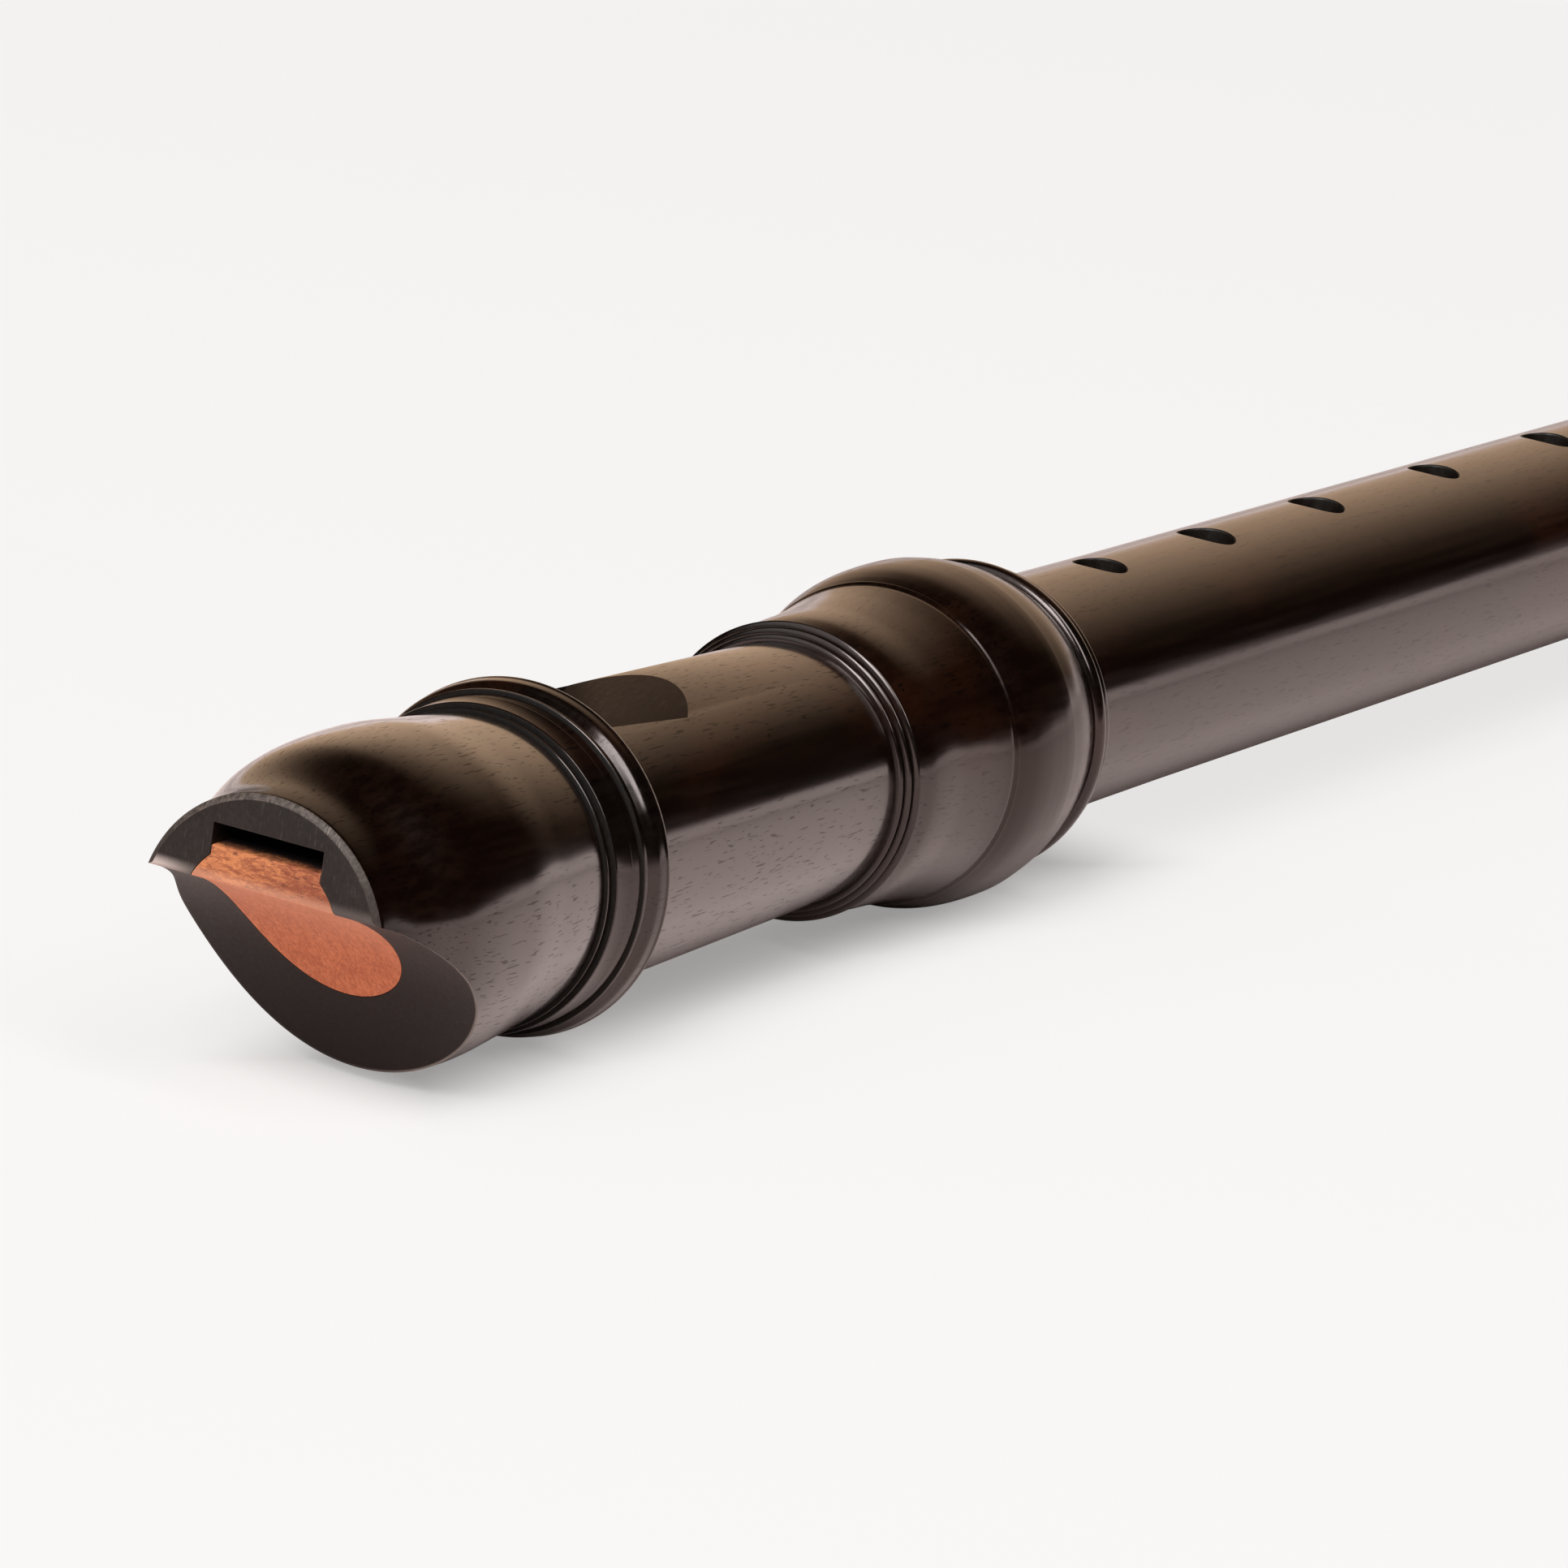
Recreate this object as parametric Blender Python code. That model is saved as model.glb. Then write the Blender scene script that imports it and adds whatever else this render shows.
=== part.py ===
# An alto recorder in three turned wooden joints, lying along X with its window facing up.
# The beak is at -X and the foot at +X. The origin is under the middle, on the surface it lies on.
# Sizes here are millimetres. Along the axis, each joint is measured from its own beak-side end
# (the middle joint from its shoulder, so its upper tenon lies at negative distances).

import math

import bmesh
import bpy
from mathutils import Matrix, Vector

MM = 0.001
SIDES = 32  # flats round every turned piece, one of them facing straight down
TANGENT = 1 / math.cos(math.pi / SIDES)  # puts the flats, not the corners, at the true radius

# The three joints and how they meet
HEAD_LENGTH = 150.9
BODY_LENGTH = 193.7
FOOT_LENGTH = 96.0
JOINT_GAP = 0.3
LENGTH = HEAD_LENGTH + BODY_LENGTH + FOOT_LENGTH + 2 * JOINT_GAP
REST_RADIUS = 19.0  # the two widest lands, which carry the recorder on a table

# Bore, sockets, tenons and corks
HEAD_BORE = 9.25
BODY_BORE_TOP = 9.0
BODY_BORE_END = 6.6
FOOT_BORE_END = 5.9
UPPER_SOCKET_RADIUS = 12.25
UPPER_SOCKET_DEPTH = 26.3
UPPER_TENON_RADIUS = 12.0
UPPER_TENON_LENGTH = 25.7
LOWER_SOCKET_RADIUS = 10.85
LOWER_SOCKET_DEPTH = 19.6
LOWER_TENON_RADIUS = 10.6
LOWER_TENON_LENGTH = 19.0
UPPER_CORK_START = 6.0  # from the tenon's free end to its cork groove
UPPER_CORK_LENGTH = 14.0
LOWER_CORK_START = 4.0
LOWER_CORK_LENGTH = 12.0
CORK_GROOVE_DEPTH = 1.0
CORK_CLEARANCE = 0.1
CORK_END_GAP = 0.3
CORK_BEVEL = 0.4
EDGE_CHAMFER = 0.5  # on the rims of the sockets, the tenons' ends and the bore's open end
BORE_STEP = 0.05  # by which the foot's bore is wider than the bore that leads into it
BODY_TOP_RADIUS = 13.8
BODY_END_RADIUS = 12.9

# Beak, windway, window and block
BEAK_END_RADIUS = 14.0
BEAK_END_CHAMFER = 0.85
SCOOP_RADIUS = 31.8
SCOOP_CENTRE = (-7.5, -26.75)
SCOOP_SIDES = 64
WINDWAY_HALF_WIDTH = 6.3
WINDWAY_ROOF_BEAK = 10.0
WINDWAY_ROOF_EXIT = 9.6
WINDOW_START = 51.0
WINDOW_HALF_WIDTH = 6.2
EDGE_AT = 55.7
EDGE_TOP = 9.6
EDGE_BOTTOM = 9.2
RAMP_END = 76.0
RAMP_END_HEIGHT = 14.95
RAMP_END_HALF_WIDTH = 7.6
UNDERCUT_END = 68.0
UNDERCUT_END_HEIGHT = 6.8
BLOCK_RADIUS = 9.17
BLOCK_STRIP_HALF_WIDTH = 6.2
BLOCK_TOP_BEAK = 7.8
BLOCK_TOP_EXIT = 8.5
BLOCK_EXIT_CHAMFER = 0.5

# Tone holes: distance along their joint and radius
BODY_HOLES = ((26.8, 3.0), (54.0, 3.3), (83.4, 3.25), (116.3, 3.0), (149.6, 3.1), (183.0, 2.8))
THUMB_HOLE = (13.0, 3.0)
FOOT_HOLE = (27.5, 2.9)
HOLE_SIDES = 16
CUTTER_REACH = 30.0  # from the axis to well outside the widest land

# Linear colours with roughness
DARK_WOOD = ((0.030, 0.019, 0.015), 0.34)
CEDAR = ((0.54, 0.18, 0.085), 0.62)
CORK = ((0.46, 0.25, 0.11), 0.85)


# Outline helpers, all in (distance along the axis, radius)

def smooth_line(knots, steps):
    # A smooth line through the knots, with this many steps from each knot to the next.
    slopes = []
    for i in range(len(knots)):
        before = knots[max(i - 1, 0)]
        after = knots[min(i + 1, len(knots) - 1)]
        slopes.append((after[1] - before[1]) / (after[0] - before[0]))
    points = [knots[0]]
    for i in range(len(knots) - 1):
        (x0, r0), (x1, r1) = knots[i], knots[i + 1]
        span = x1 - x0
        for step in range(1, steps + 1):
            t = step / steps
            radius = r0 * (1 + 2 * t) * (1 - t) ** 2 + r1 * t * t * (3 - 2 * t)
            radius += span * t * (1 - t) * (slopes[i] * (1 - t) - slopes[i + 1] * t)
            points.append((x0 + span * t, radius))
    return points


def bead(start, end, foot, peak):
    # A small rounded ring that stands on the foot radius.
    width = end - start
    return [
        (start, foot),
        (start + 0.28 * width, peak),
        (start + 0.72 * width, peak),
        (end, foot),
    ]


def head_outline():
    points = [(0.0, BEAK_END_RADIUS - BEAK_END_CHAMFER)]
    nose = [(0.6, BEAK_END_RADIUS), (6.2, 14.2), (14.0, 16.9), (23.8, 17.5), (31.6, 16.9), (39.6, 16.15)]
    points += smooth_line(nose, 2)

    # ring behind the beak: two fine beads, a band, a bead and a flared lip
    points += bead(40.0, 40.7, 15.9, 16.85)
    points += bead(40.8, 41.6, 16.3, 17.15)
    points += [(41.8, 16.65), (43.6, 16.75), (43.8, 16.2)]
    points += bead(44.0, 45.0, 16.3, 17.1)
    points += [(45.3, 17.6), (46.1, 17.7)]
    points += [(47.6, 17.95), (48.7, 18.4), (49.15, 18.5), (49.3, 15.6)]

    # tapering tube, then three beads that rise to the socket bulb
    points += [(104.7, 14.25), (105.5, 14.3)]
    points += bead(105.6, 106.3, 14.3, 15.0)
    points += bead(106.4, 107.1, 14.6, 15.6)
    points += bead(107.2, 108.0, 15.0, 16.2)
    points += [(108.4, 15.2)]

    # socket bulb: a slender front, a fine step, the wide land and a bead at the mouth
    points += smooth_line([(109.0, 15.3), (112.0, 16.05), (118.0, 16.4), (123.0, 16.85), (127.1, 17.5)], 2)
    points += smooth_line([(127.6, 17.9), (131.0, 18.4), (135.2, REST_RADIUS)], 2)
    points += smooth_line([(138.6, REST_RADIUS), (141.4, 18.5), (144.4, 17.75), (146.9, 16.9)], 2)
    points += bead(147.4, 149.6, 16.6, 17.5)
    points += [(150.5, 16.95), (HEAD_LENGTH, 16.6)]

    # socket for the upper tenon, then the bore
    floor = HEAD_LENGTH - UPPER_SOCKET_DEPTH
    points.append((HEAD_LENGTH, UPPER_SOCKET_RADIUS + EDGE_CHAMFER))
    points.append((HEAD_LENGTH - EDGE_CHAMFER, UPPER_SOCKET_RADIUS))
    points += [(floor, UPPER_SOCKET_RADIUS), (floor, HEAD_BORE), (0.0, HEAD_BORE)]
    return points


def tenon(end, direction, length, radius, cork_start, cork_length):
    # From the free end of a tenon to its shoulder, with the groove that holds the cork.
    groove = radius - CORK_GROOVE_DEPTH
    steps = (
        (0.0, radius - EDGE_CHAMFER),
        (EDGE_CHAMFER, radius),
        (cork_start, radius),
        (cork_start, groove),
        (cork_start + cork_length, groove),
        (cork_start + cork_length, radius),
        (length, radius),
    )
    return [(end + direction * distance, at_radius) for distance, at_radius in steps]


def body_outline():
    upper_end = -UPPER_TENON_LENGTH - JOINT_GAP
    lower_end = BODY_LENGTH + LOWER_TENON_LENGTH + JOINT_GAP
    upper = tenon(upper_end, 1, -upper_end, UPPER_TENON_RADIUS, UPPER_CORK_START, UPPER_CORK_LENGTH)
    lower = tenon(
        lower_end, -1, lower_end - BODY_LENGTH, LOWER_TENON_RADIUS, LOWER_CORK_START, LOWER_CORK_LENGTH
    )
    points = upper
    points += [(0.0, BODY_TOP_RADIUS - 0.4), (0.4, BODY_TOP_RADIUS), (12.0, 13.6), (35.0, 13.4)]
    points += [(BODY_LENGTH - 0.4, BODY_END_RADIUS), (BODY_LENGTH, BODY_END_RADIUS - 0.4)]
    points += reversed(lower)
    points += [(lower_end, BODY_BORE_END), (upper_end, BODY_BORE_TOP)]
    return points


def foot_outline():
    # a bead at the mouth, the socket bulb with its fine step, and three beads that fall away
    points = [(0.0, 15.3)]
    points += bead(0.4, 2.4, 15.4, 16.3)
    points += smooth_line([(2.8, 15.8), (5.6, 17.7), (9.0, REST_RADIUS)], 2)
    points += smooth_line([(12.6, REST_RADIUS), (14.8, 18.5), (17.0, 17.7)], 1)
    points += smooth_line([(17.4, 17.3), (19.4, 16.3), (21.0, 15.3)], 1)
    points += bead(21.4, 22.2, 15.0, 16.0)
    points += bead(22.3, 23.0, 14.7, 15.4)
    points += bead(23.1, 23.8, 14.3, 14.9)
    points += smooth_line([(24.2, 13.9), (36.0, 13.3), (52.0, 13.2), (69.0, 13.8)], 2)

    # two beads, then the bell and its lip at the open end
    points += bead(70.2, 71.2, 13.9, 14.8)
    points += bead(71.4, 72.8, 14.4, 15.6)
    points += smooth_line([(73.6, 14.9), (78.0, 16.6), (84.4, 17.8), (90.0, 17.2)], 2)
    points += bead(90.8, 92.4, 16.7, 17.4)
    points += [(93.2, 17.0), (95.4, 16.7), (FOOT_LENGTH, 16.1)]

    bore_start = BODY_BORE_END + BORE_STEP
    points.append((FOOT_LENGTH, FOOT_BORE_END + EDGE_CHAMFER))
    points.append((FOOT_LENGTH - EDGE_CHAMFER, FOOT_BORE_END))
    points += [(LOWER_SOCKET_DEPTH, bore_start), (LOWER_SOCKET_DEPTH, LOWER_SOCKET_RADIUS)]
    points.append((EDGE_CHAMFER, LOWER_SOCKET_RADIUS))
    points.append((0.0, LOWER_SOCKET_RADIUS + EDGE_CHAMFER))
    return points


def cork_outline(length, groove_radius, socket_radius):
    inner = groove_radius + CORK_CLEARANCE
    outer = socket_radius - CORK_CLEARANCE
    return [
        (0.0, inner),
        (0.0, outer - CORK_BEVEL),
        (CORK_BEVEL, outer),
        (length - CORK_BEVEL, outer),
        (length, outer - CORK_BEVEL),
        (length, inner),
    ]


# Mesh helpers

def finish_mesh(name, bm, smooth=False):
    bmesh.ops.recalc_face_normals(bm, faces=bm.faces)
    mesh = bpy.data.meshes.new(name)
    bm.to_mesh(mesh)
    bm.free()
    if smooth:
        mesh.shade_smooth()
        mesh.set_sharp_from_angle(angle=math.radians(25))
    return mesh


def turned(name, outline):
    # Spins a closed outline once round the X axis.
    bm = bmesh.new()
    half_step = Matrix.Rotation(math.pi / SIDES, 3, "X")
    rim = []
    for along, radius in outline:
        rim.append(bm.verts.new(half_step @ Vector((along, 0.0, radius * TANGENT)) * MM))
    edges = [bm.edges.new((rim[i - 1], rim[i])) for i in range(len(rim))]
    bmesh.ops.spin(
        bm,
        geom=rim + edges,
        axis=(1, 0, 0),
        cent=(0, 0, 0),
        angle=2 * math.pi,
        steps=SIDES,
        use_merge=True,
    )
    bmesh.ops.remove_doubles(bm, verts=bm.verts, dist=0.000001)
    return finish_mesh(name, bm, smooth=True)


def lofted(name, loops):
    # Joins loops of (along, across, up) points, one after the other, and closes both ends.
    bm = bmesh.new()
    rows = [[bm.verts.new(Vector(point) * MM) for point in loop] for loop in loops]
    for row, following in zip(rows, rows[1:]):
        for i in range(len(row)):
            bm.faces.new((row[i - 1], row[i], following[i], following[i - 1]))
    bm.faces.new(rows[0])
    bm.faces.new(rows[-1])
    return finish_mesh(name, bm)


def slab(along, half_width, low, high):
    return [
        (along, -half_width, low),
        (along, half_width, low),
        (along, half_width, high),
        (along, -half_width, high),
    ]


def drills(name, holes):
    # Round cutters that stand on the axis, upward for direction 1 and downward for -1.
    bm = bmesh.new()
    for along, radius, direction in holes:
        centre = Vector((along, 0.0, direction * CUTTER_REACH / 2)) * MM
        bmesh.ops.create_cone(
            bm,
            cap_ends=True,
            segments=HOLE_SIDES,
            radius1=radius * MM,
            radius2=radius * MM,
            depth=CUTTER_REACH * MM,
            matrix=Matrix.Translation(centre),
        )
    return finish_mesh(name, bm)


# Scene helpers

def material(name, look):
    colour, roughness = look
    made = bpy.data.materials.new(name)
    made.use_nodes = True
    shader = made.node_tree.nodes["Principled BSDF"]
    shader.inputs["Base Color"].default_value = (*colour, 1.0)
    shader.inputs["Roughness"].default_value = roughness
    shader.inputs["Metallic"].default_value = 0.0
    made.diffuse_color = (*colour, 1.0)
    return made


def place(mesh, along, parent):
    thing = bpy.data.objects.new(mesh.name, mesh)
    bpy.context.collection.objects.link(thing)
    thing.parent = parent
    thing.location = (along * MM, 0.0, 0.0)
    return thing


def piece(mesh, along, look, parent):
    mesh.materials.append(material(mesh.name + "_material", look))
    return place(mesh, along, parent)


def cutter(mesh, along, parent):
    tool = place(mesh, along, parent)
    tool.hide_render = True
    tool.display_type = "WIRE"
    return tool


def cut(thing, tool):
    modifier = thing.modifiers.new(tool.name, "BOOLEAN")
    modifier.operation = "DIFFERENCE"
    modifier.solver = "EXACT"
    modifier.object = tool


# Places of the three joints along the axis
HEAD_AT = -LENGTH / 2
BODY_AT = HEAD_AT + HEAD_LENGTH + JOINT_GAP
FOOT_AT = BODY_AT + BODY_LENGTH + JOINT_GAP


def remove_everything():
    for thing in list(bpy.data.objects):
        bpy.data.objects.remove(thing, do_unlink=True)


def build_axis():
    # The joints turn and slide on one line, so one empty carries them all.
    axis = bpy.data.objects.new("bore_axis", None)
    bpy.context.collection.objects.link(axis)
    axis.location = (0.0, 0.0, REST_RADIUS * MM)
    axis.empty_display_size = 0.02
    return axis


def scoop_cutter(axis):
    # The hollow under the beak is part of a cylinder that lies across the instrument.
    bm = bmesh.new()
    across = Matrix.Rotation(math.pi / 2, 4, "X")
    centre = Matrix.Translation(Vector((SCOOP_CENTRE[0], 0.0, SCOOP_CENTRE[1])) * MM)
    bmesh.ops.create_cone(
        bm,
        cap_ends=True,
        segments=SCOOP_SIDES,
        radius1=SCOOP_RADIUS * MM,
        radius2=SCOOP_RADIUS * MM,
        depth=2 * CUTTER_REACH * MM,
        matrix=centre @ across,
    )
    return cutter(finish_mesh("scoop_cutter", bm), HEAD_AT, axis)


def window_half_width(along):
    # The window's side walls spread from the edge to the top of the ramp.
    spread = (RAMP_END_HALF_WIDTH - WINDOW_HALF_WIDTH) / (RAMP_END - EDGE_AT)
    return WINDOW_HALF_WIDTH + spread * (along - EDGE_AT)


def line_height(along, start, start_height, end, end_height):
    return start_height + (end_height - start_height) * (along - start) / (end - start)


def head_cutters(head):
    inside = 4.0  # a height inside the bore, where every cutter may start
    above = 24.0  # clear of the outside
    over = 0.7  # how far a cutter reaches into space that is already open
    beyond = 6.0  # how far the ramp's cutter runs on past the place where it leaves the wood

    channel = []
    for along in (-1.0, WINDOW_START + over):
        roof = line_height(along, 0.0, WINDWAY_ROOF_BEAK, WINDOW_START, WINDWAY_ROOF_EXIT)
        channel.append(slab(along, WINDWAY_HALF_WIDTH, inside, roof))

    window = [slab(along, WINDOW_HALF_WIDTH, inside, above) for along in (WINDOW_START, EDGE_AT)]

    ramp = []
    for along in (EDGE_AT - over, RAMP_END + beyond):
        low = line_height(along, EDGE_AT, EDGE_TOP, RAMP_END, RAMP_END_HEIGHT)
        ramp.append(slab(along, window_half_width(along), low, above))

    undercut = []
    for along in (EDGE_AT - over, UNDERCUT_END):
        high = line_height(along, EDGE_AT, EDGE_BOTTOM, UNDERCUT_END, UNDERCUT_END_HEIGHT)
        undercut.append(slab(along, window_half_width(along), inside, high))

    shapes = {"windway": channel, "window": window, "ramp": ramp, "undercut": undercut}
    for name, loops in shapes.items():
        cut(head, cutter(lofted(name + "_cutter", loops), 0.0, head))


def block_section(along, strip_top):
    # The block's round, with a flat-topped strip that fills the foot of the windway.
    radius = BLOCK_RADIUS * TANGENT
    turn = 2 * math.pi / SIDES
    points = []
    for i in range(SIDES):
        angle = (i + 0.5) * turn
        across = radius * math.sin(angle)
        up = radius * math.cos(angle)
        if up < 0 or abs(across) > BLOCK_STRIP_HALF_WIDTH:
            points.append((along, across, up))
    # the strip's foot lies on the chord between two corners of the round
    corner = math.floor(math.asin(BLOCK_STRIP_HALF_WIDTH / radius) / turn - 0.5) + 0.5
    inner = Vector((math.sin(corner * turn), math.cos(corner * turn))) * radius
    outer = Vector((math.sin((corner + 1) * turn), math.cos((corner + 1) * turn))) * radius
    share = (BLOCK_STRIP_HALF_WIDTH - inner.x) / (outer.x - inner.x)
    foot = inner.lerp(outer, share).y
    points.append((along, -BLOCK_STRIP_HALF_WIDTH, foot))
    points.append((along, -BLOCK_STRIP_HALF_WIDTH, strip_top))
    points.append((along, BLOCK_STRIP_HALF_WIDTH, strip_top))
    points.append((along, BLOCK_STRIP_HALF_WIDTH, foot))
    return points


def build_head(axis, scoop):
    head = piece(turned("head_joint", head_outline()), HEAD_AT, DARK_WOOD, axis)
    cut(head, scoop)
    head_cutters(head)
    return head


def build_block(head, scoop):
    chamfer_at = WINDOW_START - BLOCK_EXIT_CHAMFER
    sections = [
        block_section(0.0, BLOCK_TOP_BEAK),
        block_section(chamfer_at, BLOCK_TOP_EXIT),
        block_section(WINDOW_START, BLOCK_TOP_EXIT - BLOCK_EXIT_CHAMFER),
    ]
    block = piece(lofted("block", sections), 0.0, CEDAR, head)
    cut(block, scoop)


def build_body(axis):
    body = piece(turned("middle_joint", body_outline()), BODY_AT, DARK_WOOD, axis)
    holes = [(along, radius, 1) for along, radius in BODY_HOLES]
    holes.append((*THUMB_HOLE, -1))
    cut(body, cutter(drills("body_hole_cutter", holes), 0.0, body))
    return body


def build_foot(axis):
    foot = piece(turned("foot_joint", foot_outline()), FOOT_AT, DARK_WOOD, axis)
    cut(foot, cutter(drills("foot_hole_cutter", [(*FOOT_HOLE, 1)]), 0.0, foot))


def build_corks(body):
    upper = cork_outline(
        UPPER_CORK_LENGTH - 2 * CORK_END_GAP, UPPER_TENON_RADIUS - CORK_GROOVE_DEPTH, UPPER_SOCKET_RADIUS
    )
    upper_at = UPPER_CORK_START + CORK_END_GAP - UPPER_TENON_LENGTH - JOINT_GAP
    piece(turned("upper_tenon_cork", upper), upper_at, CORK, body)

    lower = cork_outline(
        LOWER_CORK_LENGTH - 2 * CORK_END_GAP, LOWER_TENON_RADIUS - CORK_GROOVE_DEPTH, LOWER_SOCKET_RADIUS
    )
    lower_groove_end = BODY_LENGTH + LOWER_TENON_LENGTH + JOINT_GAP - LOWER_CORK_START
    lower_at = lower_groove_end - LOWER_CORK_LENGTH + CORK_END_GAP
    piece(turned("lower_tenon_cork", lower), lower_at, CORK, body)


def main():
    remove_everything()
    axis = build_axis()
    scoop = scoop_cutter(axis)
    head = build_head(axis, scoop)
    build_block(head, scoop)
    body = build_body(axis)
    build_corks(body)
    build_foot(axis)


main()
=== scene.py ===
import math
import bpy
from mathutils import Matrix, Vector


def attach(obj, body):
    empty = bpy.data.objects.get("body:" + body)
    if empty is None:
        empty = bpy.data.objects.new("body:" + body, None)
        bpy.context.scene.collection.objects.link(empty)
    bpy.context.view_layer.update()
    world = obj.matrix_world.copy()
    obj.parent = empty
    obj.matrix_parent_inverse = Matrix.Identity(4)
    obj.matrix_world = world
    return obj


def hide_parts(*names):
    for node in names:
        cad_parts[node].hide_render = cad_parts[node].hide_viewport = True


# Alto recorder lying on white paper. Distances are in mm until they reach a mesh or a
# finish, and each joint is measured from its own beak-side end, as on the maker's drawing.

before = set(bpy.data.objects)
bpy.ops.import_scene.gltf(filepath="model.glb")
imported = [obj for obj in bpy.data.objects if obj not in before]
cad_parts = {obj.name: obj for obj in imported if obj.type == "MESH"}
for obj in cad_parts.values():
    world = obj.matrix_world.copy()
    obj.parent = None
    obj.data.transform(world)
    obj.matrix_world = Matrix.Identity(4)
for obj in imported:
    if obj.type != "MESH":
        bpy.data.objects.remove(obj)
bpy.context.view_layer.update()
print("frame loaded")

mm = 0.001
boreHeight = 19.0  # the bore's centre line above the paper
headStart = -220.6
middleStart = -69.4  # the middle joint's shoulder
footStart = 124.6
weldWithin = 0.001  # points closer than this become one
creaseAngle = 30  # degrees


# Small helpers

def fromBeak(*stations):
    # places along the recorder, measured from the end of the beak
    return [(headStart + station) * mm for station in stations]


def fromBore(*heights):
    return [(boreHeight + height) * mm for height in heights]


def clearSelection():
    if bpy.context.object and bpy.context.object.mode != "OBJECT":
        bpy.ops.object.mode_set(mode="OBJECT")
    bpy.ops.object.select_all(action="DESELECT")


def selectOnly(piece):
    clearSelection()
    piece.select_set(True)
    bpy.context.view_layer.objects.active = piece


def bow(knots, steps):
    # a flowing line through the knots, drawn with this many steps between two of them
    slopes = []
    for i in range(len(knots)):
        before, after = knots[max(i - 1, 0)], knots[min(i + 1, len(knots) - 1)]
        slopes.append((after[1] - before[1]) / (after[0] - before[0]))
    line = [knots[0]]
    for i in range(len(knots) - 1):
        (x0, r0), (x1, r1) = knots[i], knots[i + 1]
        for step in range(1, steps + 1):
            t = step / steps
            radius = r0 * (1 + 2 * t) * (1 - t) ** 2 + r1 * t * t * (3 - 2 * t)
            radius += (x1 - x0) * t * (1 - t) * (slopes[i] * (1 - t) - slopes[i + 1] * t)
            line.append((x0 + (x1 - x0) * t, radius))
    return line


def bead(start, end, foot, peak, steps=12):
    # a half-round ring left standing by the beading tool
    middle, half = (start + end) / 2, (end - start) / 2
    line = []
    for step in range(steps + 1):
        turn = math.pi * step / steps
        line.append((middle - half * math.cos(turn), foot + (peak - foot) * math.sin(turn)))
    return line


def drawLine(name, line):
    # one vertex is drawn out along the line, corner by corner
    clearSelection()
    bpy.ops.mesh.primitive_plane_add(size=mm, location=(0, 0, 0))
    piece = bpy.context.object
    piece.name = piece.data.name = name
    bpy.ops.object.mode_set(mode="EDIT")
    bpy.ops.mesh.select_all(action="SELECT")
    bpy.ops.mesh.merge(type="CENTER")
    bpy.ops.transform.translate(value=line[0])
    for here, following in zip(line, line[1:] + line[:1]):
        bpy.ops.mesh.extrude_region_move(TRANSFORM_OT_translate={"value": following - here})
    bpy.ops.mesh.select_all(action="SELECT")
    bpy.ops.mesh.remove_doubles(threshold=weldWithin * mm)
    return piece


def closeShape(piece, finish):
    # leaves edit mode with every face pointing outward
    bpy.ops.mesh.select_all(action="SELECT")
    bpy.ops.mesh.normals_make_consistent(inside=False)
    bpy.ops.object.mode_set(mode="OBJECT")
    piece.data.materials.append(finish)


def turnPiece(name, outline, start, sides, finish):
    # draws half the outline beside the bore and spins it once round
    line = []
    for along, radius in outline:
        line.append(Vector(((start + along) * mm, 0, (boreHeight + radius) * mm)))
    piece = drawLine(name, line)
    bpy.ops.mesh.select_all(action="SELECT")
    bpy.ops.mesh.spin(steps=sides, angle=math.tau, center=(0, 0, boreHeight * mm), axis=(1, 0, 0))
    bpy.ops.mesh.select_all(action="SELECT")
    bpy.ops.mesh.remove_doubles(threshold=weldWithin * mm)
    closeShape(piece, finish)
    return piece


def smoothPiece(piece):
    selectOnly(piece)
    bpy.ops.object.shade_smooth_by_angle(angle=math.radians(creaseAngle))


def taperedTool(name, ends, finish):
    # a bar that runs from one end to the other; an end is (along, half width, low, high)
    clearSelection()
    along, halfWidth, low, high = ends[0]
    bpy.ops.mesh.primitive_plane_add(size=1, location=(0, 0, 0), rotation=(0, math.pi / 2, 0))
    tool = bpy.context.object
    tool.name = name
    bpy.ops.object.transform_apply(location=True, rotation=True, scale=True)
    bpy.ops.object.mode_set(mode="EDIT")
    bpy.ops.mesh.select_all(action="SELECT")
    size = (1, 2 * halfWidth * mm, (high - low) * mm)
    place = Vector(((headStart + along) * mm, 0, (boreHeight + (low + high) / 2) * mm))
    bpy.ops.transform.resize(value=size, center_override=(0, 0, 0))
    bpy.ops.transform.translate(value=place)
    for (a0, w0, low0, high0), (a1, w1, low1, high1) in zip(ends, ends[1:]):
        move = ((a1 - a0) * mm, 0, ((low1 + high1) - (low0 + high0)) / 2 * mm)
        bpy.ops.mesh.extrude_region_move(TRANSFORM_OT_translate={"value": move})
        place = place + Vector(move)
        size = (1, w1 / w0, (high1 - low1) / (high0 - low0))
        bpy.ops.transform.resize(value=size, center_override=place)
    closeShape(tool, finish)
    return tool


def carve(piece, tool):
    # the cut faces take the tool's finish
    selectOnly(piece)
    modifier = piece.modifiers.new("carve", "BOOLEAN")
    modifier.operation = "DIFFERENCE"
    modifier.solver = "EXACT"
    modifier.material_mode = "TRANSFER"
    modifier.object = tool
    bpy.ops.object.modifier_apply(modifier="carve")
    bpy.data.objects.remove(tool)


def paintWhere(piece, finish, isThere):
    # gives this finish to the faces that pass, told by their place from the beak and radius
    names = [slot.name for slot in piece.data.materials]
    if finish.name not in names:
        piece.data.materials.append(finish)
        names.append(finish.name)
    number = names.index(finish.name)
    for face in piece.data.polygons:
        x, y, z = face.center / mm
        if isThere(x - headStart, math.hypot(y, z - boreHeight), face):
            face.material_index = number


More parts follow.
